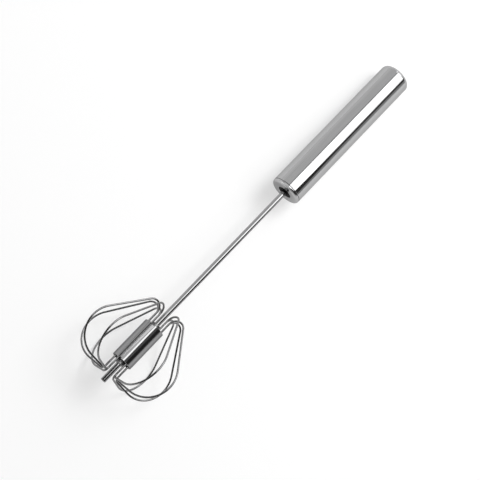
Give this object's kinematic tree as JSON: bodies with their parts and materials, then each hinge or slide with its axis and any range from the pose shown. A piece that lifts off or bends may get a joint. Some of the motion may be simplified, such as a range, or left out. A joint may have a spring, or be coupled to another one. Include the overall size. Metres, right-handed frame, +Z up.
{
  "type": "push whisk",
  "caption": "Polished steel hand-push rotary whisk: a round tube handle slides on a thin stem and spins a cage of bent wire loops held by a hub sleeve.",
  "frame": {"origin": "centre of the lying tool's footprint on the table", "axes": "+Z up from the table, +X along the tool from the whisk to the handle, +Y across it"},
  "size_m": [0.3098, 0.0718, 0.0664],
  "materials": {
    "polished_steel": "polished stainless steel with fine lengthwise marks",
    "wire_steel": "bright drawn stainless wire",
    "hub_metal": "turned metal",
    "spring_steel": "drawn spring steel",
    "black_plastic": "moulded black plastic",
    "nylon": "natural nylon"
  },
  "bodies": {
    "handle": {"handle_tube": "polished_steel", "end_cap": "polished_steel", "guide_bush": "black_plastic", "top_plug": "nylon", "anchor_pin": "spring_steel", "spiral_strip": "spring_steel", "return_spring": "spring_steel"},
    "carriage": {"spring_seat": "nylon"},
    "spindle": {"drive_nut": "nylon", "stem": "polished_steel", "tip_plug": "polished_steel", "hub_core": "hub_metal", "hub_sleeve": "polished_steel", "lower_collar": "hub_metal", "upper_collar": "hub_metal", "wire_loop_1": "wire_steel", "wire_loop_2": "wire_steel", "wire_loop_3": "wire_steel", "wire_loop_4": "wire_steel", "wire_loop_5": "wire_steel", "wire_loop_6": "wire_steel", "wire_loop_7": "wire_steel", "wire_loop_8": "wire_steel"}
  },
  "joints": [
    {"name": "push_stroke", "type": "slide", "parent": "handle", "child": "carriage", "axis": [0.9971, 0, -0.0765], "range_m": [0, 0.055], "stiffness_N_per_m": 150, "springref_m": -0.02, "deforming": ["return_spring"]},
    {"name": "spindle_spin", "type": "hinge", "parent": "carriage", "child": "spindle", "pos_m": [0.05719, 0, 0.01891], "axis": [0.9971, 0, -0.0765], "range_deg": [0, 901]}
  ],
  "couplings": [
    {"joint": "spindle_spin", "follows": "push_stroke", "rad_per_m": 285.6}
  ]
}
